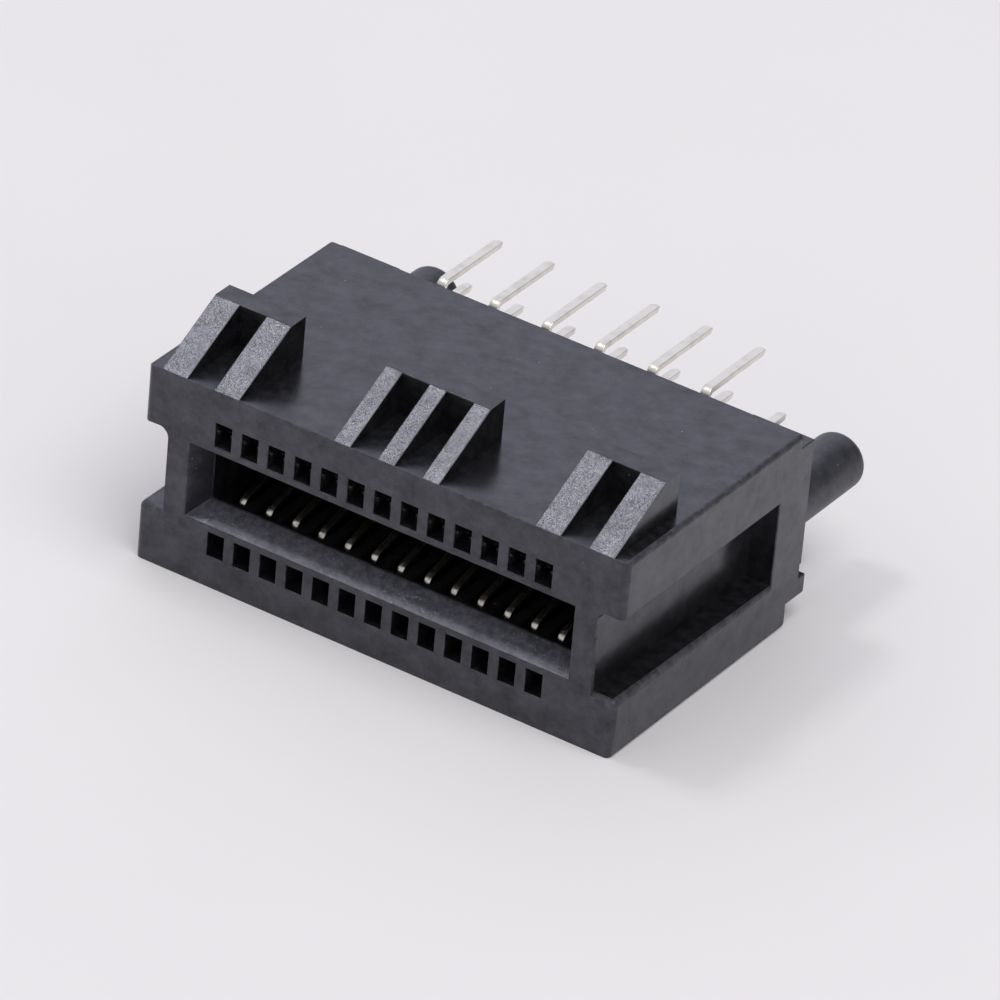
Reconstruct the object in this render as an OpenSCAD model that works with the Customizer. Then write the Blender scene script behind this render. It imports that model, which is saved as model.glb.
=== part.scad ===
// Card edge connector for a printed board: a moulded housing with two rows of
// formed strip contacts, staggered solder tails and two locating pegs.
// It lies on its flat long side. X runs along the rows, Y from the card mouth
// to the solder tails, and Z is up. All sizes are in millimetres.

/* [Contact pattern] */
// Number of contacts in each of the two rows
positions = 13; // [9:1:25]
// Distance between neighbouring contacts in a row
pitch = 1.27; // [1.27:0.01:2.00]
// Distance from the middle plane to the centre of each row of front mouths
row_offset = 2.54; // [2.50:0.01:2.80]

/* [Housing block] */
// Height of the block without the grip ribs
body_h = 9.0; // [8.6:0.02:11]
// Depth of the block from the card mouth to its rear face
body_d = 12.75; // [12:0.05:16]
// Distance from the last contact of a row to the end face
end_reach = 3.78; // [3.7:0.02:5]
// Rounding of the long outer edges
edge_r = 0.2; // [0.05:0.01:0.4]

/* [End channels] */
// Thickness of the flange above and below each end channel
flange_t = 2.6; // [2.3:0.01:3.0]
// Depth of each end channel, measured in from the end face
channel_w = 1.18; // [0.6:0.01:1.3]
// Thickness of the wall that closes each channel at the rear
rear_wall = 1.4; // [0.8:0.05:2]
// Rounding of the upper inner corner of each channel
channel_r = 0.45; // [0.1:0.05:0.55]

/* [Card slot] */
// Clear height of the card slot behind its lead-in
slot_h = 2.22; // [2.0:0.02:2.4]
// Depth of the card slot from the front face
slot_depth = 7.9; // [7:0.1:8.8]
// Distance from the last contact of a row to the end of the slot
slot_reach = 0.98; // [0.8:0.01:1.1]
// Widening of the slot on each of its four sides at the front face
lead_in = 0.6; // [0.4:0.01:0.65]
// Depth of the lead-in from the front face
lead_d = 1.07; // [0.8:0.01:1.1]

/* [Contact cavities] */
// Width of every cavity and of its front mouth
cavity_w = 0.78; // [0.7:0.01:0.9]
// Height of every front mouth
mouth_h = 1.08; // [0.9:0.01:1.15]
// Depth of the bar between the front mouths and the card slot
lip_d = 1.25; // [1.2:0.05:1.4]
// Thickness of the web between the two rows behind the slot
web_t = 0.84; // [0.5:0.02:1.2]
// Length of the guide that holds a contact, measured in from the rear face
guide_l = 4.0; // [3:0.1:4.3]

/* [Grip ribs] */
// Rise of the ribs above the block
rib_rise = 1.88; // [1:0.02:2.4]
// Length of the ramp of a rib, from the front face to the bar
rib_ramp = 3.45; // [2.5:0.05:5]
// Depth of the bar that joins the ribs of a group at their rear
rib_bar = 1.0; // [0.6:0.05:2]
// Width of each of the two ribs of an outer group
outer_rib_w = 1.2; // [0.8:0.05:1.4]
// Gap between the two ribs of an outer group
outer_rib_gap = 1.3; // [0.8:0.05:1.4]
// Distance from the end face to the nearest rib
outer_rib_inset = 0.68; // [0.4:0.01:1]
// Width of each of the three ribs of the middle group
mid_rib_w = 0.8; // [0.5:0.05:1]
// Gap between the ribs of the middle group
mid_rib_gap = 1.3; // [0.8:0.05:1.4]

/* [Board side] */
// Height of the pads behind the rear face
pad_t = 0.85; // [0.6:0.05:1.5]
// Width of each pad, measured in from the end face
pad_w = 2.9; // [2.84:0.02:3.2]
// Height of the lower edge of the pads above the underside
pad_low = 1.05; // [0.6:0.05:1.4]
// Distance from the top of the block down to the top of the pads
pad_drop = 0.6; // [0.3:0.01:1.2]
// Height of the foot along the lower edge of each pad
foot_h = 0.87; // [0.5:0.01:1.2]
// Step from a pad to the face of its foot, which seats on the board
foot_t = 0.4; // [0.2:0.05:0.6]
// Height of the shallow groove above each foot
groove_w = 0.65; // [0.3:0.05:0.7]
// Depth of the shallow groove above each foot
groove_d = 0.1; // [0.05:0.01:0.3]
// Diameter of the locating pegs
peg_d = 2.48; // [2:0.02:2.5]
// Length of the locating pegs beyond the pads
peg_l = 5.25; // [3:0.05:6]
// Distance from the last contact of a row to the axis of the peg
peg_reach = 2.2; // [2.14:0.01:2.4]
// Chamfer on the end of the pegs
peg_edge = 0.3; // [0.1:0.02:0.5]

/* [Contacts] */
// Thickness of the contact strip
strip_t = 0.25; // [0.2:0.01:0.3]
// Width of the spring and of the tail of a contact
strip_w = 0.4; // [0.3:0.01:0.5]
// Width of the stem between its barbs
stem_w = 0.6; // [0.5:0.01:0.66]
// Clearance between a contact and the cavity that holds it
contact_clear = 0.02; // [0.01:0.01:0.05]
// Distance from the front face to the end of the spring
tip_y = 0.74; // [0.4:0.02:0.8]
// Distance from the front face to the crown of the spring
crown_y = 4.3; // [4:0.1:5.5]
// Gap between the crowns of two facing contacts
crown_gap = 1.0; // [0.7:0.05:1.4]
// Distance from the middle plane to the inner rows of tails
tail_inner = 1.66; // [1.3:0.01:2]
// Distance from the middle plane to the outer rows of tails
tail_outer = 4.2; // [3.6:0.01:4.3]
// Length of the tails beyond the pads
tail_l = 4.04; // [2.5:0.02:5]
// Length of the coined taper at the end of a tail
tail_taper = 0.25; // [0.1:0.05:0.6]

/* [Hidden] */
$fn = 48;
eps = 0.5;
row_names = ["lower", "upper"];
function contact_name(r, i) = str("contact_", row_names[r], "_", i < 10 ? "0" : "", i);

// Places along X
span = (positions - 1) * pitch;
body_l = span + 2 * end_reach;
slot_l = span + 2 * slot_reach;
peg_x = span / 2 + peg_reach;
function contact_x(i) = (i - 1) * pitch - span / 2;

// Places along Z: m is a distance from the middle plane
mid_z = body_h / 2;
slot_m = slot_h / 2;
mouth_in_m = row_offset - mouth_h / 2;
mouth_out_m = row_offset + mouth_h / 2;
guide_m = row_offset + strip_t / 2 + contact_clear;

// Places along Y, from the front face
rear_y = body_d;
guide_y = rear_y - guide_l;
pad_y = rear_y + pad_t;
seat_y = pad_y + foot_t;
tail_y = pad_y + tail_l;
all_d = pad_y + peg_l;
step_l = mouth_out_m - guide_m;

// Form of a contact: bend radii of its strip, from the tip to the tail
tip_bend_r = 0.35;
nose_bend_r = 0.5;
crown_bend_r = 1.1;
stem_bend_r = 1.0;
tail_bend_r = 0.3;
bend_steps = 8;
// Rise of the nose above the tip, and room behind the bar
nose_rise = 0.9;
nose_room = 0.36;
nose_lean = 0.3;
// Room between the formed tail and the face of the pads
jog_room = 0.2;
// Barbs of the stem: the place of the first, their length, the fall behind
// each of them and the distance between them
barb_y = guide_y + stem_bend_r / 2;
barb_l = 0.55;
barb_fall = 0.1;
barb_step = 0.95;
// Depth of the coined taper on each side of a tail
taper_d = strip_t / 3;

// Unit vector and left normal of a run between two points
function unit(v) = v / norm(v);
function left(v) = [-v[1], v[0]];

// Points of a rounded corner at p between a and b
function corner(a, p, b, r) =
    let (u = unit(p - a), v = unit(b - p))
    let (turn = acos(max(-1, min(1, u * v))))
    let (side = u[0] * v[1] - u[1] * v[0] > 0 ? 1 : -1)
    let (start = p - u * r * tan(turn / 2))
    let (centre = start + left(u) * r * side)
    let (first = atan2(start[1] - centre[1], start[0] - centre[0]))
    [for (k = [0:bend_steps])
        let (t = first + side * turn * k / bend_steps)
        centre + r * [cos(t), sin(t)]];

// Centre line of a strip through given corners with given bend radii
function bent(p, r) = concat(
    [p[0]],
    [for (i = [1:len(p) - 2]) each corner(p[i - 1], p[i], p[i + 1], r[i - 1])],
    [p[len(p) - 1]]);

// Point of a strip's edge at distance d to the left of its centre line
function edge_point(c, i, d) =
    let (n = len(c) - 1)
    let (u = unit(c[max(i, 1)] - c[max(i, 1) - 1]))
    let (v = unit(c[min(i + 1, n)] - c[min(i + 1, n) - 1]))
    let (w = unit(left(u) + left(v)))
    c[i] + w * d / (w * left(u));

// Closed outline of a strip of thickness t
function strip(c, t) = concat(
    [for (i = [0:len(c) - 1]) edge_point(c, i, t / 2)],
    [for (i = [len(c) - 1:-1:0]) edge_point(c, i, -t / 2)]);

// Centre line of a contact in Y and m, for a tail at distance tail_m
function contact_line(tail_m) =
    let (tip_m = mouth_in_m + contact_clear + strip_t / 2)
    let (crown_m = (crown_gap + strip_t) / 2)
    let (nose_y = lip_d + nose_room)
    bent([
        [tip_y, tip_m],
        [nose_y, tip_m],
        [nose_y + nose_lean, tip_m - nose_rise],
        [crown_y, crown_m],
        [guide_y, row_offset],
        [rear_y + tail_bend_r, row_offset],
        [pad_y - jog_room, tail_m],
        [tail_y, tail_m]],
        [tip_bend_r, nose_bend_r, crown_bend_r, stem_bend_r, tail_bend_r, tail_bend_r]);

// Turns a profile drawn in Y and Z into a bar of width w along X
module across(w) {
    rotate([90, 0, 90])
        translate([0, 0, -w / 2])
            linear_extrude(w)
                children();
}

// Turns a profile drawn in X and Z into a bar from y0 to y1
module along(y0, y1) {
    translate([0, y1, 0])
        rotate([90, 0, 0])
            linear_extrude(y1 - y0)
                children();
}

// Puts a piece drawn with its front face on y = 0 into the frame of the part
module placed() {
    translate([0, -all_d / 2, 0]) children();
}

// Repeats a piece on both sides of the middle plane
module both_rows() {
    translate([0, 0, mid_z]) {
        children();
        mirror([0, 0, 1]) children();
    }
}

// Repeats a piece at both ends
module both_ends() {
    children();
    mirror([1, 0, 0]) children();
}

// Rectangle with rounded corners
module rounded_square(w, h, r) {
    union() {
        translate([r, 0]) square([w - 2 * r, h]);
        translate([0, r]) square([w, h - 2 * r]);
        for (x = [r, w - r])
            for (y = [r, h - r])
                translate([x, y]) circle(r);
    }
}

// Section of one end channel: open at the end face, filleted under the flange
module channel_section() {
    difference() {
        translate([body_l / 2 - channel_w, flange_t])
            square([channel_w + eps, body_h - 2 * flange_t]);
        translate([body_l / 2 - channel_w, body_h - flange_t - channel_r])
            difference() {
                square(channel_r);
                translate([channel_r, 0]) circle(channel_r);
            }
    }
}

// Clear space of the card slot with its lead-in on all four sides
module slot_space() {
    translate([-slot_l / 2, -eps, -slot_m])
        cube([slot_l, slot_depth + eps, slot_h]);
    intersection() {
        across(slot_l + 2 * lead_in)
            polygon([
                [0, slot_m + lead_in],
                [lead_d, slot_m],
                [lead_d, -slot_m],
                [0, -slot_m - lead_in]]);
        translate([0, 0, -slot_m - lead_in])
            linear_extrude(slot_h + 2 * lead_in)
                polygon([
                    [-slot_l / 2 - lead_in, 0],
                    [-slot_l / 2, lead_d],
                    [slot_l / 2, lead_d],
                    [slot_l / 2 + lead_in, 0]]);
    }
}

// Clear space of one contact: front mouth, spring room and rear guide
module cavity_space() {
    across(cavity_w)
        polygon([
            [-eps, mouth_in_m],
            [lip_d, mouth_in_m],
            [lip_d, slot_m / 2],
            [slot_depth - eps, slot_m / 2],
            [slot_depth - eps, web_t / 2],
            [rear_y + eps, web_t / 2],
            [rear_y + eps, guide_m],
            [guide_y, guide_m],
            [guide_y - step_l, mouth_out_m],
            [-eps, mouth_out_m]]);
}

// One group of wedge ribs joined by a bar at the rear
module rib_group(count, w, gap) {
    wide = count * w + (count - 1) * gap;
    for (k = [0:count - 1])
        translate([k * (w + gap) + w / 2 - wide / 2, 0, body_h])
            across(w)
                polygon([
                    [0, -edge_r],
                    [0, 0],
                    [rib_ramp, rib_rise],
                    [rib_ramp + rib_bar, rib_rise],
                    [rib_ramp + rib_bar, -edge_r]]);
    translate([-wide / 2, rib_ramp, body_h - edge_r])
        cube([wide, rib_bar, rib_rise + edge_r]);
}

// Pad with its foot, groove and locating peg, at the right end
module board_pad() {
    translate([body_l / 2 - pad_w / 2, 0, 0])
        across(pad_w)
            polygon([
                [rear_y - eps, pad_low],
                [seat_y, pad_low],
                [seat_y, pad_low + foot_h],
                [pad_y - groove_d, pad_low + foot_h],
                [pad_y - groove_d, pad_low + foot_h + groove_w],
                [pad_y, pad_low + foot_h + groove_w],
                [pad_y, body_h - pad_drop],
                [rear_y - eps, body_h - pad_drop]]);
    translate([peg_x, pad_y - eps, mid_z])
        rotate([-90, 0, 0]) {
            cylinder(d = peg_d, h = peg_l + eps - peg_edge);
            translate([0, 0, peg_l + eps - peg_edge])
                cylinder(d1 = peg_d, d2 = peg_d - 2 * peg_edge, h = peg_edge);
        }
}

// Moulded housing
module housing() {
    outer_wide = 2 * outer_rib_w + outer_rib_gap;
    color("#2b2b2f")
        placed() {
            difference() {
                along(0, rear_y)
                    translate([-body_l / 2, 0])
                        rounded_square(body_l, body_h, edge_r);
                both_ends()
                    along(-eps, rear_y - rear_wall)
                        channel_section();
                translate([0, 0, mid_z]) slot_space();
                both_rows()
                    for (i = [1:positions])
                        translate([contact_x(i), 0, 0]) cavity_space();
            }
            rib_group(3, mid_rib_w, mid_rib_gap);
            both_ends() {
                translate([body_l / 2 - outer_rib_inset - outer_wide / 2, 0, 0])
                    rib_group(2, outer_rib_w, outer_rib_gap);
                board_pad();
            }
        }
}

// Plan of the barbed stem that holds a contact in its guide
module stem_plan() {
    barb_w = cavity_w - 2 * contact_clear;
    translate([-stem_w / 2, barb_y]) square([stem_w, 2 * barb_step]);
    for (k = [0, 1])
        translate([0, barb_y + k * barb_step])
            polygon([
                [-stem_w / 2, 0],
                [stem_w / 2, 0],
                [barb_w / 2, barb_l],
                [stem_w / 2, barb_l + barb_fall],
                [-stem_w / 2, barb_l + barb_fall],
                [-barb_w / 2, barb_l]]);
}

// Corner that the coining takes off the end of a tail, on side s
module taper_space(s) {
    polygon([
        [-tail_taper, 0],
        [0, -s * taper_d],
        [eps, -s * taper_d],
        [eps, s * eps],
        [-tail_taper, s * eps]]);
}

// Formed strip contact of the upper row, drawn about the middle plane
module contact_form(tail_m) {
    difference() {
        union() {
            across(strip_w)
                polygon(strip(contact_line(tail_m), strip_t));
            translate([0, 0, row_offset - strip_t / 2])
                linear_extrude(strip_t)
                    stem_plan();
        }
        for (s = [-1, 1]) {
            translate([0, tail_y, tail_m + s * strip_t / 2])
                across(strip_w + 2 * eps)
                    taper_space(s);
            translate([s * strip_w / 2, tail_y, tail_m - strip_t])
                linear_extrude(2 * strip_t)
                    mirror([1, -1, 0])
                        taper_space(s);
        }
    }
}

// Contact i of row r: even contacts have their tail in the outer row
module contact(r, i) {
    color("#c8c5bc")
        placed()
            translate([contact_x(i), 0, mid_z])
                mirror([0, 0, 1 - r])
                    contact_form(i % 2 == 0 ? tail_outer : tail_inner);
}

housing();
for (r = [0, 1])
    for (i = [1:positions])
        contact(r, i);
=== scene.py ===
"""Looks of a card edge connector lying on its flat long side.

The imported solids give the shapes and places. This script rounds the edges of the
moulded housing and of the formed contacts, narrows the contacts' springs, gives all
pieces their finishes, and lights them on a pale floor. Lengths named _mm are
millimetres in the part's own frame: X along the rows, Y from the card mouth to the
solder tails, Z up.
"""

import logging
import math
from dataclasses import dataclass, replace
from enum import Enum
from typing import Callable

import bmesh
import bpy
from mathutils import Matrix, Vector


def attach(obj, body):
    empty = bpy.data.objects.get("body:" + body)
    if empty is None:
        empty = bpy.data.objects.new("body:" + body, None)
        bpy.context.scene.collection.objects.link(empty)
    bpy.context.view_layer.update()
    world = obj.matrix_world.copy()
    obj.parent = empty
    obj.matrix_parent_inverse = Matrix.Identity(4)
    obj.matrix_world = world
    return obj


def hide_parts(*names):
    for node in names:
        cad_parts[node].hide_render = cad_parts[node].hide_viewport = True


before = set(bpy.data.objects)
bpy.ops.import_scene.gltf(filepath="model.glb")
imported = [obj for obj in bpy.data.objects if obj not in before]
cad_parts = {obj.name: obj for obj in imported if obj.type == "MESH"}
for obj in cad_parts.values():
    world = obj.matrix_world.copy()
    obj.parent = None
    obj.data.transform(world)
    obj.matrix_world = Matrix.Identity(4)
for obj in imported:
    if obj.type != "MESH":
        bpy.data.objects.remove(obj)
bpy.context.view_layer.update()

LOG = logging.getLogger("connector")
MM = 0.001
BODY = "root"
WELD_MM = 0.0002
FLAT_DEG = 0.2
NEAR_MM = 0.02

Span = tuple[float, float]
Triple = tuple[float, float, float]


class Row(Enum):
    """The two rows of contacts."""

    LOWER = "lower"
    UPPER = "upper"


class Region(Enum):
    """Material slots of the housing's mesh."""

    FACE = 0
    EDGE = 1
    RAMP = 2
    LEAD_IN = 3
    PEG = 4


class Strip(Enum):
    """Material slots of a contact's mesh."""

    TAIL = 0
    SPRING = 1


def linear(code: str) -> tuple[float, float, float, float]:
    """Turns an sRGB hex colour into linear values by the sRGB standard's curve.

    Args:
        code: Colour as "#rrggbb".

    Returns:
        Linear red, green and blue, and an alpha of 1.
    """
    parts = [int(code[i:i + 2], 16) / 255 for i in (1, 3, 5)]
    low = [c / 12.92 if c <= 0.04045 else ((c + 0.055) / 1.055) ** 2.4 for c in parts]
    return (low[0], low[1], low[2], 1.0)


def add_node(tree: bpy.types.NodeTree, kind: str, settings: dict | None = None,
             **inputs: object) -> bpy.types.Node:
    """Adds one node with its settings, values and links.

    Args:
        tree: Node tree to add to.
        kind: Blender's name of the node type.
        settings: Properties of the node itself.
        **inputs: Socket names, with _ for a space, or i and a socket's number, each
            with a value or a socket to link.

    Returns:
        The new node.
    """
    node = tree.nodes.new(kind)
    for key, value in (settings or {}).items():
        setattr(node, key, value)
    for key, value in inputs.items():
        name = key.replace("_", " ")
        socket = node.inputs[int(key[1:]) if key[1:].isdigit() else name]
        if isinstance(value, bpy.types.NodeSocket):
            tree.links.new(value, socket)
        else:
            socket.default_value = value
    return node


def new_material(name: str) -> tuple[bpy.types.Material, bpy.types.NodeTree]:
    """Starts an empty node material.

    Args:
        name: Name of the material.

    Returns:
        The material and its cleared node tree.
    """
    material = bpy.data.materials.new(name)
    material.use_nodes = True
    material.node_tree.nodes.clear()
    return material, material.node_tree


def place_mm(tree: bpy.types.NodeTree, turn_deg: Triple = (0.0, 0.0, 0.0),
             stretch: Triple = (1.0, 1.0, 1.0)) -> bpy.types.NodeSocket:
    """Gives the piece's own coordinates in millimetres.

    Args:
        tree: Node tree to add to.
        turn_deg: Turn of the coordinates about X, Y and Z.
        stretch: Factor on each turned axis; below 1 it draws a pattern out.

    Returns:
        The vector socket.
    """
    where = add_node(tree, "ShaderNodeTexCoord").outputs["Object"]
    turned = add_node(tree, "ShaderNodeMapping", Vector=where,
                      Rotation=tuple(math.radians(angle) for angle in turn_deg))
    return add_node(tree, "ShaderNodeMapping", Vector=turned.outputs["Vector"],
                    Scale=tuple(factor / MM for factor in stretch)).outputs["Vector"]


def blend(tree: bpy.types.NodeTree, share: bpy.types.NodeSocket, first: object,
          second: object) -> bpy.types.NodeSocket:
    """Blends two colours.

    Args:
        tree: Node tree to add to.
        share: Socket with the share of the second colour.
        first: Colour or socket.
        second: Colour or socket.

    Returns:
        The colour socket.
    """
    node = add_node(tree, "ShaderNodeMix", {"data_type": "RGBA"}, i0=share, i6=first, i7=second)
    return node.outputs[2]


def ramp(tree: bpy.types.NodeTree, value: bpy.types.NodeSocket, start: float, end: float,
         low: float = 0.0, high: float = 1.0) -> bpy.types.NodeSocket:
    """Maps a value from one range to another, held at both ends.

    Args:
        tree: Node tree to add to.
        value: Socket to map.
        start: Value that becomes low.
        end: Value that becomes high.
        low: Result at the start.
        high: Result at the end.

    Returns:
        The mapped socket.
    """
    return add_node(tree, "ShaderNodeMapRange", Value=value, From_Min=start, From_Max=end,
                    To_Min=low, To_Max=high).outputs["Result"]


def only(piece: bpy.types.Object) -> None:
    """Makes a piece the only one selected, and the active one.

    Args:
        piece: Piece to select.
    """
    bpy.ops.object.select_all(action="DESELECT")
    piece.select_set(True)
    bpy.context.view_layer.objects.active = piece


def copy_of_node(node: str, name: str) -> bpy.types.Object:
    """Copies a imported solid's mesh into a new piece and closes its seams.

    Args:
        node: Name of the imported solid.
        name: Name of the new piece.

    Returns:
        The piece, with flat faces joined up.
    """
    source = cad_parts[node]
    piece = bpy.data.objects.new(name, source.data.copy())
    piece.data.name = name
    piece.data.materials.clear()
    bpy.context.scene.collection.objects.link(piece)
    only(piece)
    bpy.ops.object.mode_set(mode="EDIT")
    bpy.ops.mesh.select_all(action="SELECT")
    bpy.ops.mesh.customdata_custom_splitnormals_clear()
    bpy.ops.mesh.remove_doubles(threshold=WELD_MM * MM)
    bpy.ops.mesh.dissolve_limited(angle_limit=math.radians(FLAT_DEG))
    bpy.ops.object.mode_set(mode="OBJECT")
    return piece


def weld(piece: bpy.types.Object) -> None:
    """Joins points that coincide and takes out faces of no area.

    Args:
        piece: Piece in object mode.
    """
    only(piece)
    bpy.ops.object.mode_set(mode="EDIT")
    bpy.ops.mesh.select_all(action="SELECT")
    bpy.ops.mesh.remove_doubles(threshold=WELD_MM * MM)
    bpy.ops.mesh.dissolve_degenerate(threshold=WELD_MM * MM)
    bpy.ops.object.mode_set(mode="OBJECT")


def round_edges(piece: bpy.types.Object, radius: Callable[[Vector], float], most_mm: float,
                least_deg: float, steps: int, slot: int = -1) -> int:
    """Rounds the outward edges of a piece by radii that depend on the place.

    Args:
        piece: Piece in object mode.
        radius: Radius in millimetres for an edge's middle point in millimetres.
        most_mm: Largest radius.
        least_deg: Least angle between the two faces of an edge.
        steps: Number of faces across a rounded edge.
        slot: Material slot of the rounded faces, or -1 for that of their neighbours.

    Returns:
        Number of edges rounded.
    """
    mesh = bmesh.new()
    mesh.from_mesh(piece.data)
    layer = mesh.edges.layers.float.new("bevel_weight_edge")
    count = 0
    for edge in mesh.edges:
        if edge.is_convex and edge.calc_face_angle(0.0) > math.radians(least_deg):
            middle = (edge.verts[0].co + edge.verts[1].co) / (2 * MM)
            edge[layer] = radius(middle) / most_mm
            count += edge[layer] > 0
    mesh.to_mesh(piece.data)
    mesh.free()
    only(piece)
    bpy.ops.object.modifier_add(type="BEVEL")
    bevel = piece.modifiers[-1]
    bevel.limit_method = "WEIGHT"
    bevel.offset_type = "OFFSET"
    bevel.width = most_mm * MM
    bevel.segments = steps
    bevel.use_clamp_overlap = False
    bevel.loop_slide = False
    bevel.material = slot
    bpy.ops.object.modifier_apply(modifier=bevel.name)
    return count


def smooth(piece: bpy.types.Object, crease_deg: float) -> None:
    """Shades a piece smooth with flat faces kept flat.

    Args:
        piece: Piece in object mode.
        crease_deg: Angle above which an edge stays sharp.
    """
    only(piece)
    bpy.ops.object.shade_smooth_by_angle(angle=math.radians(crease_deg))
    bpy.ops.object.modifier_add(type="WEIGHTED_NORMAL")
    piece.modifiers[-1].keep_sharp = True
    bpy.ops.object.modifier_apply(modifier=piece.modifiers[-1].name)


@dataclass(frozen=True)
class Noise:
    """Cloudy pattern in a piece's own coordinates."""

    size_mm: float
    detail: float = 2.0
    roughness: float = 0.5
    distortion: float = 0.0
    turn_deg: Triple = (0.0, 0.0, 0.0)
    stretch: Triple = (1.0, 1.0, 1.0)

    def add(self, tree: bpy.types.NodeTree) -> bpy.types.NodeSocket:
        """Adds the pattern to a material.

        Args:
            tree: Node tree to add to.

        Returns:
            Socket with values between 0 and 1, most of them near the middle.
        """
        noise = add_node(tree, "ShaderNodeTexNoise", Vector=place_mm(tree, self.turn_deg, self.stretch),
                         Scale=1 / self.size_mm, Detail=self.detail, Roughness=self.roughness,
                         Distortion=self.distortion)
        return noise.outputs["Fac"]

    def sized(self, size_mm: float) -> "Noise":
        """Gives the same pattern at another size in millimetres."""
        return replace(self, size_mm=size_mm)


@dataclass(frozen=True)
class MouldedPolyester:
    """Black glass-filled polyester, moulded in a spark-eroded steel cavity.

    The resin is nearly black, so most of what the eye gets is a satin sheen. The
    eroded steel leaves a fine frosted grain that sparkles where a lamp is mirrored.
    Resin flow leaves faint clouds and streaks of uneven sheen, handling leaves fine
    scratches, and glass fibres show as tiny pale flecks.
    """

    name: str = "glass_filled_moulded_polyester"
    resin_hex: str = "#131316"
    cloud_hex: str = "#28292c"
    scratch_hex: str = "#3a3b3e"
    fleck_hex: str = "#7c7e84"
    sheen_hex: str = "#ebecfb"
    ior: float = 1.7
    sheen: float = 0.5
    roughness: float = 0.22
    rougher: Span = (-0.01, 0.02)
    cloud: Noise = Noise(0.5, detail=5.0, roughness=0.65)
    cloud_span: Span = (0.4, 0.75)
    flow: Noise = Noise(1.0, detail=7.0, roughness=0.78, turn_deg=(0.0, 0.0, -20.0),
                        stretch=(0.8, 1.0, 1.0))
    flow_swing: float = 0.23
    swing_span: Span = (0.3, 0.7)
    grain: Noise = Noise(0.2, roughness=0.6)
    grain_depth_mm: float = 0.0006
    scratch: Noise = Noise(0.14, detail=1.0, distortion=0.25, stretch=(0.07, 1.0, 1.0))
    scratch_turns_deg: tuple[Triple, Triple] = ((0.0, 0.0, 32.0), (20.0, 0.0, -55.0))
    scratch_span: Span = (0.66, 0.76)
    scratch_share: float = 0.4
    handled: Noise = Noise(3.0)
    handled_span: Span = (0.45, 0.62)
    fleck_mm: float = 1.0
    fleck_r_mm: float = 0.045

    def scratches(self, tree: bpy.types.NodeTree) -> bpy.types.NodeSocket:
        """Lays fine straight scratches in two directions where the moulding was handled.

        Args:
            tree: Node tree to add to.

        Returns:
            Socket with the share of a scratch's colour, 0 beside it.
        """
        marks = []
        for turn_deg in self.scratch_turns_deg:
            mark = replace(self.scratch, turn_deg=turn_deg).add(tree)
            marks.append(ramp(tree, mark, *self.scratch_span, 0.0, self.scratch_share))
        either = add_node(tree, "ShaderNodeMath", {"operation": "MAXIMUM"}, i0=marks[0], i1=marks[1])
        patch = ramp(tree, self.handled.add(tree), *self.handled_span)
        both = add_node(tree, "ShaderNodeMath", {"operation": "MULTIPLY"}, i0=either.outputs["Value"],
                        i1=patch)
        return both.outputs["Value"]

    def colour(self, tree: bpy.types.NodeTree, cloud: bpy.types.NodeSocket) -> bpy.types.NodeSocket:
        """Lays scratches and flecks over the clouded resin.

        Args:
            tree: Node tree to add to.
            cloud: Socket with the pattern of the clouds.

        Returns:
            The colour socket.
        """
        share = ramp(tree, cloud, *self.cloud_span)
        resin = blend(tree, share, linear(self.resin_hex), linear(self.cloud_hex))
        worn = blend(tree, self.scratches(tree), resin, linear(self.scratch_hex))
        cell = add_node(tree, "ShaderNodeTexVoronoi", Vector=place_mm(tree), Scale=1 / self.fleck_mm)
        fleck = ramp(tree, cell.outputs["Distance"], self.fleck_r_mm / self.fleck_mm, 0.0)
        return blend(tree, fleck, worn, linear(self.fleck_hex))

    def build(self) -> bpy.types.Material:
        """Builds the material.

        Returns:
            The node material.
        """
        material, tree = new_material(self.name)
        cloud = self.cloud.add(tree)
        gloss = ramp(tree, self.flow.add(tree), *self.swing_span,
                     self.sheen - self.flow_swing, self.sheen + self.flow_swing)
        dull = ramp(tree, cloud, *self.swing_span, *(self.roughness + more for more in self.rougher))
        relief = add_node(tree, "ShaderNodeBump", Height=self.grain.add(tree),
                          Distance=self.grain_depth_mm * MM, Strength=1.0)
        shader = add_node(tree, "ShaderNodeBsdfPrincipled", Base_Color=self.colour(tree, cloud),
                          Roughness=dull, IOR=self.ior, Normal=relief.outputs["Normal"],
                          Specular_Tint=linear(self.sheen_hex), Specular_IOR_Level=gloss)
        add_node(tree, "ShaderNodeOutputMaterial", Surface=shader.outputs["BSDF"])
        return material


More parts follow.
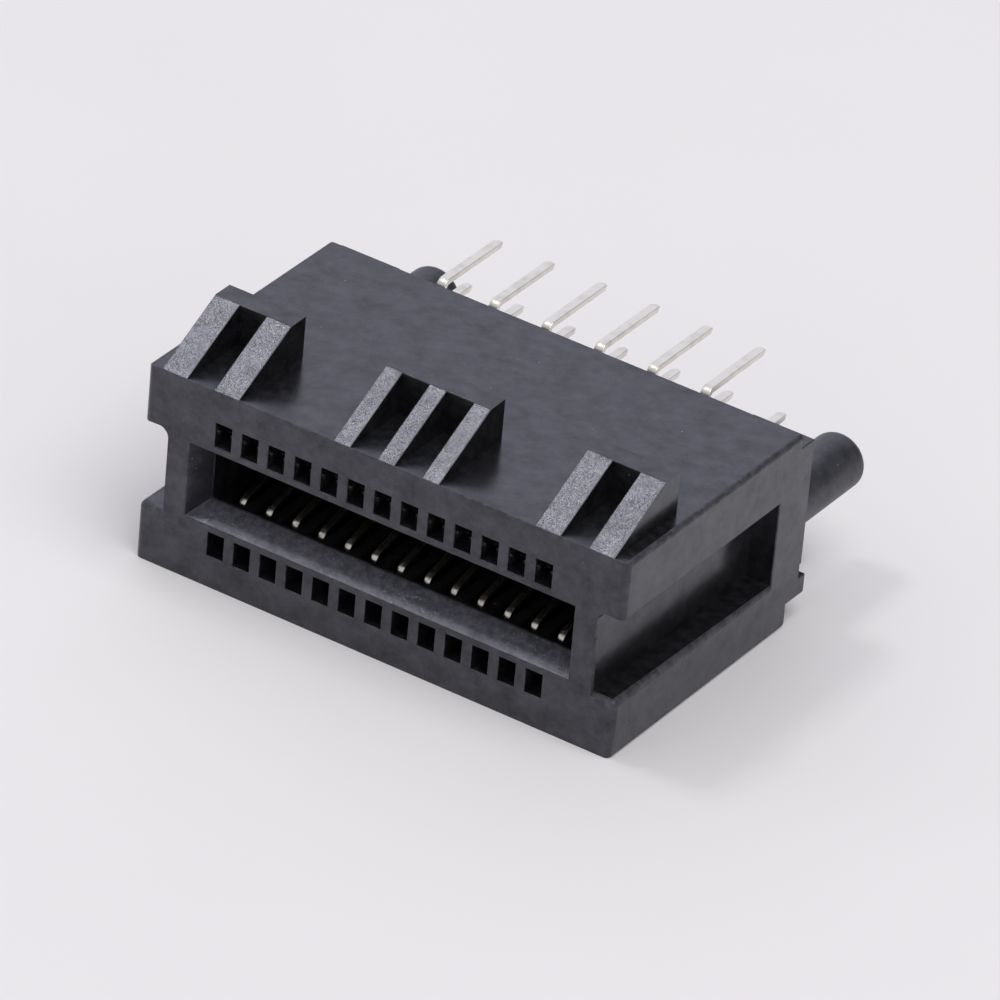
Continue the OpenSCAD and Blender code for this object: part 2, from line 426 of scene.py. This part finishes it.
@dataclass(frozen=True)
class TinnedBronze:
    """Tin-plated phosphor bronze, blanked from strip and formed.

    The plating is a bright, slightly uneven satin that goes grey where it is
    handled, so the metal mirrors its pale surroundings with soft streaks.
    """

    name: str = "tin_plated_phosphor_bronze"
    tin_hex: str = "#e6e2da"
    dull_hex: str = "#d3cec5"
    roughness: float = 0.34
    rougher: Span = (-0.04, 0.05)
    patch: Noise = Noise(0.5, detail=3.0)
    patch_span: Span = (0.45, 0.75)
    streak: Noise = Noise(0.06, stretch=(1.0, 0.15, 1.0))
    streak_span: Span = (0.3, 0.7)
    streak_depth_mm: float = 0.0005

    def build(self) -> bpy.types.Material:
        """Builds the material.

        Returns:
            The node material.
        """
        material, tree = new_material(self.name)
        patch = ramp(tree, self.patch.add(tree), *self.patch_span)
        streak = self.streak.add(tree)
        tin = blend(tree, patch, linear(self.tin_hex), linear(self.dull_hex))
        haze = ramp(tree, streak, *self.streak_span, *(self.roughness + more for more in self.rougher))
        relief = add_node(tree, "ShaderNodeBump", Height=streak, Distance=self.streak_depth_mm * MM,
                          Strength=1.0)
        shader = add_node(tree, "ShaderNodeBsdfPrincipled", Base_Color=tin, Metallic=1.0, Roughness=haze,
                          Normal=relief.outputs["Normal"])
        add_node(tree, "ShaderNodeOutputMaterial", Surface=shader.outputs["BSDF"])
        return material


@dataclass(frozen=True)
class MattBoard:
    """Matt white board, uncoated: it scatters light evenly and keeps soft shadows."""

    name: str = "matt_white_board"
    light_hex: str = "#ebe8ea"
    dark_hex: str = "#e8e5e7"
    mottle: Noise = Noise(14.0)
    roughness: float = 0.9
    sheen: float = 0.1

    def build(self) -> bpy.types.Material:
        """Builds the material.

        Returns:
            The node material.
        """
        material, tree = new_material(self.name)
        tone = blend(tree, self.mottle.add(tree), linear(self.light_hex), linear(self.dark_hex))
        shader = add_node(tree, "ShaderNodeBsdfPrincipled", Base_Color=tone, Roughness=self.roughness,
                          Specular_IOR_Level=self.sheen)
        add_node(tree, "ShaderNodeOutputMaterial", Surface=shader.outputs["BSDF"])
        return material


@dataclass
class Housing:
    """The moulded housing: one piece with its ribs, pads and pegs."""

    node: str = "housing"
    name: str = "moulded_housing"
    front_y_mm: float = -9.425
    rear_y_mm: float = 3.325
    top_z_mm: float = 9.0
    slot_x_mm: float = 9.3
    slot_z_mm: Span = (2.7, 6.3)
    mouth_z_mm: Span = (1.2, 7.8)
    lead_d_mm: float = 1.07
    end_x_mm: float = 11.4
    long_r_mm: float = 0.2
    flange_z_mm: float = 2.6
    foot_mm: Span = (4.575, 1.05)
    bar_y_mm: float = -5.975
    pad_y_mm: float = 4.175
    peg_mm: Span = (9.82, 4.5)
    peg_r_mm: float = 1.24
    peg_slack_mm: float = 0.05
    peg_end_r_mm: float = 0.18
    soft_r_mm: float = 0.3
    flange_r_mm: float = 0.28
    rear_r_mm: float = 0.12
    block_r_mm: float = 0.05
    rib_r_mm: float = 0.05
    rim_r_mm: float = 0.05
    cutter_mm: float = 0.5
    corner_steps: int = 8
    edge_steps: int = 4
    least_deg: float = 25.0
    crease_deg: float = 40.0
    slope_front: float = 0.3
    slope_up: float = 0.6
    edge_lean: float = 0.05

    def on_peg(self, point: Vector) -> bool:
        """Tells whether a point in millimetres lies on one of the pegs."""
        off_axis = math.dist((abs(point.x), point.z), self.peg_mm)
        beyond_pad = point.y > self.pad_y_mm + self.peg_slack_mm
        return beyond_pad and off_axis < self.peg_r_mm + self.peg_slack_mm

    def radius(self, point: Vector) -> float:
        """Gives the rounding of an edge by its place.

        Args:
            point: Middle of the edge in millimetres.

        Returns:
            Radius in millimetres; 0 inside the cavities and where the edge stays as moulded.
        """
        depth = point.y - self.front_y_mm
        inner = abs(point.x) < self.slot_x_mm and self.mouth_z_mm[0] < point.z < self.mouth_z_mm[1]
        at_slot = self.slot_z_mm[0] < point.z < self.slot_z_mm[1]
        if inner and (depth < NEAR_MM or (at_slot and depth < self.lead_d_mm + NEAR_MM)):
            return self.rim_r_mm
        if inner and point.y < self.rear_y_mm + NEAR_MM:
            return 0.0
        if math.dist((point.y, point.z), self.foot_mm) < NEAR_MM:
            return self.soft_r_mm
        if point.z > self.top_z_mm + NEAR_MM and point.y > self.bar_y_mm + NEAR_MM:
            return 0.0
        if self.on_peg(point):
            return self.peg_end_r_mm
        if point.z > self.top_z_mm + NEAR_MM or point.y > self.rear_y_mm + NEAR_MM:
            return self.rib_r_mm
        if abs(point.z - self.flange_z_mm) < NEAR_MM:
            return self.flange_r_mm
        near_end = abs(point.x) > self.end_x_mm - self.soft_r_mm - NEAR_MM
        at_corner = near_end and depth < self.soft_r_mm + NEAR_MM
        if at_corner or (depth < NEAR_MM and point.z < self.soft_r_mm):
            return 0.0
        if point.y > self.rear_y_mm - NEAR_MM:
            return self.rear_r_mm
        return self.block_r_mm

    def corner_cutter(self, side: int) -> bpy.types.Object:
        """Makes an upright bar with a hollow quarter round, which leaves the end's corner round.

        Args:
            side: -1 for the left end, 1 for the right one.

        Returns:
            The cutter.
        """
        r, over = self.soft_r_mm, self.cutter_mm
        turns = [k * math.pi / (2 * self.corner_steps) for k in range(self.corner_steps + 1)]
        arc = [(r - r * math.sin(t), r - r * math.cos(t)) for t in turns]
        plan = [(-over, -over), (r, -over)] + arc + [(-over, r)]
        mesh = bmesh.new()
        ring = [mesh.verts.new((side * (self.end_x_mm - u) * MM, (self.front_y_mm + w) * MM, -over * MM))
                for u, w in plan]
        base = mesh.faces.new(ring)
        grown = bmesh.ops.extrude_face_region(mesh, geom=[base])["geom"]
        upper = [item for item in grown if isinstance(item, bmesh.types.BMVert)]
        bmesh.ops.translate(mesh, vec=Vector((0, 0, (self.top_z_mm + 2 * over) * MM)), verts=upper)
        bmesh.ops.recalc_face_normals(mesh, faces=mesh.faces)
        data = bpy.data.meshes.new("corner_cutter")
        mesh.to_mesh(data)
        mesh.free()
        cutter = bpy.data.objects.new("corner_cutter", data)
        bpy.context.scene.collection.objects.link(cutter)
        return cutter

    def round_corners(self, piece: bpy.types.Object) -> None:
        """Takes the upright front edges off to a radius with one cutter at each end.

        Args:
            piece: Housing in object mode.
        """
        for side in (-1, 1):
            cutter = self.corner_cutter(side)
            only(piece)
            bpy.ops.object.modifier_add(type="BOOLEAN")
            cut = piece.modifiers[-1]
            cut.operation = "DIFFERENCE"
            cut.solver = "EXACT"
            cut.object = cutter
            bpy.ops.object.modifier_apply(modifier=cut.name)
            data = cutter.data
            bpy.data.objects.remove(cutter)
            bpy.data.meshes.remove(data)

    def mark_regions(self, piece: bpy.types.Object) -> None:
        """Gives the ramps, the lower lead-in, the pegs and the rounded long edges their slots.

        Args:
            piece: Housing in object mode.
        """
        for face in piece.data.polygons:
            middle = face.center / MM
            lean = min(abs(face.normal.x), abs(face.normal.z))
            if self.on_peg(middle):
                face.material_index = Region.PEG.value
            elif face.normal.y < -self.slope_front and face.normal.z > self.slope_up:
                if middle.z > self.top_z_mm:
                    face.material_index = Region.RAMP.value
                elif self.slot_z_mm[0] < middle.z < self.slot_z_mm[1]:
                    face.material_index = Region.LEAD_IN.value
            # The rounded long edges at the ends take the lighter edge finish, a painted highlight along
            # them.
            elif abs(middle.x) > self.end_x_mm - self.long_r_mm and lean > self.edge_lean:
                face.material_index = Region.EDGE.value

    def build(self, finishes: dict[Region, bpy.types.Material]) -> bpy.types.Object:
        """Models the housing with its rounded edges, lighter by light rubbing and by a painted
        highlight.

        Args:
            finishes: Finish of every region.

        Returns:
            The finished piece.
        """
        piece = copy_of_node(self.node, self.name)
        for region in Region:
            piece.data.materials.append(finishes[region])
        self.round_corners(piece)
        count = round_edges(piece, self.radius, self.soft_r_mm, self.least_deg, self.edge_steps,
                            Region.EDGE.value)
        weld(piece)
        self.mark_regions(piece)
        smooth(piece, self.crease_deg)
        LOG.info("%s: %d edges rounded, %d faces", self.name, count, len(piece.data.polygons))
        return piece


@dataclass
class ContactRow:
    """One row of formed strip contacts."""

    row: Row
    positions: int = 13
    edge_r_mm: float = 0.025
    edge_steps: int = 2
    spring_y_mm: Span = (-6.5, -1.5)
    spring_share: float = 0.76
    least_deg: float = 50.0
    crease_deg: float = 50.0

    def taper_spring(self, piece: bpy.types.Object) -> None:
        """Narrows the spring of a contact towards its nose.

        Args:
            piece: Contact in object mode.
        """
        tip, root = self.spring_y_mm
        middle = sum(vert.co.x for vert in piece.data.vertices) / len(piece.data.vertices)
        for vert in piece.data.vertices:
            share = max(0.0, min(1.0, (root - vert.co.y / MM) / (root - tip)))
            vert.co.x = middle + (vert.co.x - middle) * (1 - share * (1 - self.spring_share))

    def mark_strip(self, piece: bpy.types.Object) -> None:
        """Gives the spring and the rest of a contact their slots.

        Args:
            piece: Contact in object mode.
        """
        root = self.spring_y_mm[1] * MM
        for face in piece.data.polygons:
            face.material_index = (Strip.SPRING if face.center.y < root else Strip.TAIL).value

    def build(self, finishes: dict[Strip, bpy.types.Material]) -> list[bpy.types.Object]:
        """Models the contacts of the row with their rolled-over blanked edges.

        Args:
            finishes: Finish of every part of the strip.

        Returns:
            The finished pieces, in order along the row.
        """
        pieces = []
        for i in range(1, self.positions + 1):
            node = f"contact_{self.row.value}_{i:02d}"
            piece = copy_of_node(node, f"tinned_{node}")
            for part in Strip:
                piece.data.materials.append(finishes[part])
            self.taper_spring(piece)
            round_edges(piece, lambda point: self.edge_r_mm, self.edge_r_mm, self.least_deg,
                        self.edge_steps)
            self.mark_strip(piece)
            smooth(piece, self.crease_deg)
            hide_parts(node)
            pieces.append(piece)
            LOG.info("%s: %d faces", piece.name, len(piece.data.polygons))
        return pieces


@dataclass
class Studio:
    """Pale floor, soft light and the camera."""

    floor_mm: float = 3000.0
    sensor_mm: float = 36.0
    lens_mm: float = 375.23
    clip_start_mm: float = 10.0
    camera_mm: Triple = (182.889, -304.247, 222.025)
    azimuth_deg: float = 31.055
    elevation_deg: float = 31.697
    roll_deg: float = 5.264
    surround_hex: str = "#f1f0f3"
    surround: float = 0.68
    sky_hex: str = "#e9ebf8"
    sky_from: Triple = (-0.439, 0.729, 0.525)
    sky: float = 1.08
    shade_from: Triple = (0.439, 0.729, 0.525)
    shade: float = 0.08
    side_cos: Span = (0.8, 0.95)
    softbox_mm: Triple = (-219.5, -23.5, 448.7)
    softbox_size_mm: float = 80.0
    softbox_share: float = 0.115
    fill_mm: Triple = (230.0, -60.0, 551.0)
    fill_size_mm: float = 400.0
    fill_share: float = 0.38

    def floor(self, finish: bpy.types.Material) -> None:
        """Lays the floor under the part.

        Args:
            finish: Finish of the floor.
        """
        bpy.ops.object.select_all(action="DESELECT")
        bpy.ops.mesh.primitive_plane_add(size=self.floor_mm * MM)
        plane = bpy.context.object
        plane.name = "floor"
        plane.data.materials.append(finish)

    def hang(self, name: str, middle_mm: Triple, size_mm: float, share: float) -> None:
        """Hangs a square lamp that faces the part.

        Args:
            name: Name of the lamp.
            middle_mm: Middle of the lamp.
            size_mm: Side of the lamp.
            share: Brightness of a white floor under this lamp alone, 1 being its own colour.
        """
        place = Vector(middle_mm) * MM
        bpy.ops.object.select_all(action="DESELECT")
        bpy.ops.object.light_add(type="AREA", location=place)
        lamp = bpy.context.object
        lamp.name = name
        lamp.rotation_mode = "QUATERNION"
        lamp.rotation_quaternion = place.to_track_quat("Z", "Y")
        lamp.data.shape = "SQUARE"
        lamp.data.size = size_mm * MM
        lamp.data.energy = share * math.pi ** 2 * place.length ** 3 / place.z

    def surroundings(self) -> None:
        """Makes the pale surroundings, with a bright side and a shaded one."""
        world = bpy.data.worlds.new("pale_surroundings")
        bpy.context.scene.world = world
        world.use_nodes = True
        tree = world.node_tree
        tree.nodes.clear()
        where = add_node(tree, "ShaderNodeTexCoord").outputs["Generated"]
        sides = []
        for toward in (self.sky_from, self.shade_from):
            side = add_node(tree, "ShaderNodeVectorMath", {"operation": "DOT_PRODUCT"}, i0=where,
                            i1=toward)
            sides.append(ramp(tree, side.outputs["Value"], *self.side_cos))
        colour = blend(tree, sides[0], linear(self.surround_hex), linear(self.sky_hex))
        bright = ramp(tree, sides[0], 0.0, 1.0, self.surround, self.sky)
        shaded = ramp(tree, sides[1], 0.0, 1.0, 0.0, self.shade - self.surround)
        level = add_node(tree, "ShaderNodeMath", {"operation": "ADD"}, i0=bright, i1=shaded)
        glow = add_node(tree, "ShaderNodeBackground", Color=colour, Strength=level.outputs["Value"])
        add_node(tree, "ShaderNodeOutputWorld", Surface=glow.outputs["Background"])

    def light(self) -> None:
        """Hangs two softboxes over the part, in pale surroundings."""
        self.surroundings()
        self.hang("softbox", self.softbox_mm, self.softbox_size_mm, self.softbox_share)
        self.hang("fill", self.fill_mm, self.fill_size_mm, self.fill_share)

    def camera(self) -> None:
        """Sets the camera at the height, turn and tilt of the reference view."""
        angles = (self.azimuth_deg, self.elevation_deg, self.roll_deg)
        turn, rise, roll = (math.radians(angle) for angle in angles)
        ahead = Vector((-math.sin(turn) * math.cos(rise), math.cos(turn) * math.cos(rise),
                        -math.sin(rise)))
        level = Vector((math.cos(turn), math.sin(turn), 0))
        above = level.cross(ahead)
        right = level * math.cos(roll) + above * math.sin(roll)
        up = above * math.cos(roll) - level * math.sin(roll)
        bpy.ops.object.select_all(action="DESELECT")
        bpy.ops.object.camera_add()
        view = bpy.context.object
        view.name = "camera"
        view.data.sensor_width = self.sensor_mm
        view.data.lens = self.lens_mm
        view.data.clip_start = self.clip_start_mm * MM
        basis = Matrix((right, up, -ahead)).transposed().to_4x4()
        basis.translation = Vector(self.camera_mm) * MM
        view.matrix_world = basis
        bpy.context.scene.camera = view


def housing_finishes() -> dict[Region, bpy.types.Material]:
    """Builds the finishes of the housing.

    Returns:
        One material for every region.
    """
    plain = MouldedPolyester()
    family = "glass_filled_polyester"
    finishes = {
        Region.FACE: plain,
        # Rounded edges get a lighter resin than the faces: light rubbing, and a painted highlight along
        # the edges.
        Region.EDGE: replace(plain, name=family + "_rubbed_edge", resin_hex="#17181a",
                             cloud_hex="#46474c", cloud=plain.cloud.sized(0.35), roughness=0.55),
        # The ramps get a much lighter resin than the faces: a painted sheen of the softbox they mirror,
        # over their real eroded grain.
        Region.RAMP: replace(plain, name=family + "_eroded_ramp", resin_hex="#414247",
                             cloud_hex="#66676e", roughness=0.25, grain=plain.grain.sized(0.13),
                             grain_depth_mm=0.02),
        # The lower lead-in gets a lighter resin and dense pale scratches: real scuffs, and a painted
        # sheen of the softbox.
        Region.LEAD_IN: replace(plain, name=family + "_scuffed_lead_in", resin_hex="#34353a",
                                cloud_hex="#5a5b62", scratch_hex="#7a7c84", cloud=plain.cloud.sized(0.3),
                                roughness=0.3, grain=plain.grain.sized(0.08), grain_depth_mm=0.008,
                                scratch_share=0.9, fleck_mm=0.3),
        # The pegs get a rougher finish and a lighter resin than the faces; the lighter resin is a
        # painted sheen.
        Region.PEG: replace(plain, name=family + "_matt_peg", resin_hex="#1f2023", cloud_hex="#2f3034",
                            roughness=0.45),
    }
    return {region: finish.build() for region, finish in finishes.items()}


def strip_finishes() -> dict[Strip, bpy.types.Material]:
    """Builds the finishes of the contacts.

    Returns:
        One material for every part of the strip.
    """
    plain = TinnedBronze()
    # The springs get a darker tin than the tails: painted shade of the slot and cavities they sit in,
    # over the plating's own dull patches.
    spring = replace(plain, name="tin_plated_phosphor_bronze_polished_spring_painted_shade", tin_hex="#dad6cd",
                     dull_hex="#a8a297", roughness=0.22, patch=plain.patch.sized(0.15),
                     streak_depth_mm=0.0001)
    return {Strip.TAIL: plain.build(), Strip.SPRING: spring.build()}


def main() -> None:
    """Builds the part and its setting in order."""
    logging.basicConfig(level=logging.INFO, format="%(message)s")
    bpy.context.scene.view_settings.view_transform = "Standard"
    housing = Housing()
    shell = housing.build(housing_finishes())
    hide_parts(housing.node)
    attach(shell, BODY)
    strip = strip_finishes()
    for row in Row:
        for piece in ContactRow(row).build(strip):
            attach(piece, BODY)
    studio = Studio()
    studio.floor(MattBoard().build())
    studio.light()
    studio.camera()
    LOG.info("floor, lamps and camera are set")


if __name__ == "__main__":
    main()
